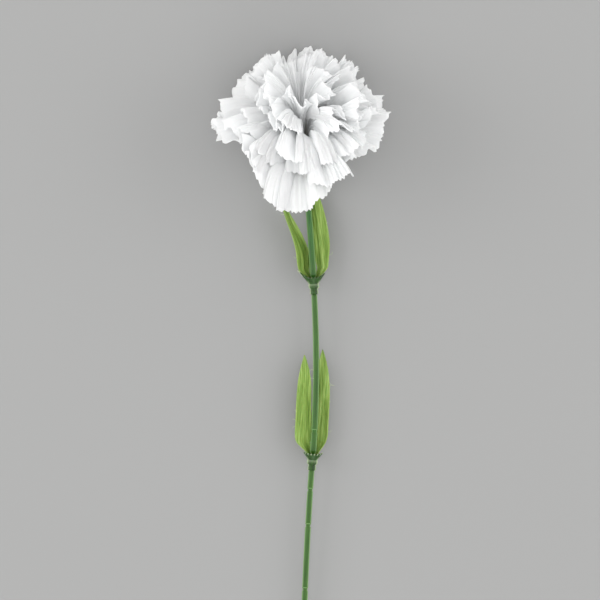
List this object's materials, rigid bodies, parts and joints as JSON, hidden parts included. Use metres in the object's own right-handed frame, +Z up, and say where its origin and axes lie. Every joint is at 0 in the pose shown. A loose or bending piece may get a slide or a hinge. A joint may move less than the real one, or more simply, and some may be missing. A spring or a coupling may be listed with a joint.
{
  "type": "artificial carnation stem",
  "caption": "White cloth carnation with toothed, ruffled petals on a wired green plastic stem with two pairs of cloth leaves, lying on a surface.",
  "frame": {"origin": "centre of the bounding box on the surface that the flower lies on", "axes": "+Y along the stem towards the bloom, +X to the right seen from above with the bloom away from the viewer, +Z up"},
  "size_m": [0.0864, 0.5207, 0.0676],
  "materials": {
    "petal_cloth": "matt white woven cloth, thin and slightly translucent",
    "leaf_cloth": "yellow-green cloth with darker streaks and frayed edges",
    "stem_plastic": "moulded green plastic with a soft sheen",
    "pin_plastic": "off-white moulded plastic",
    "wire_steel": "drawn wire"
  },
  "bodies": {
    "root": {"bloom": "petal_cloth", "petal_pin": "pin_plastic", "calyx": "stem_plastic", "stem": "stem_plastic", "wire_core": "wire_steel", "lower_collar": "stem_plastic", "upper_collar": "stem_plastic", "lower_leaf_pair": "leaf_cloth", "upper_leaf_pair": "leaf_cloth"}
  },
  "joints": []
}
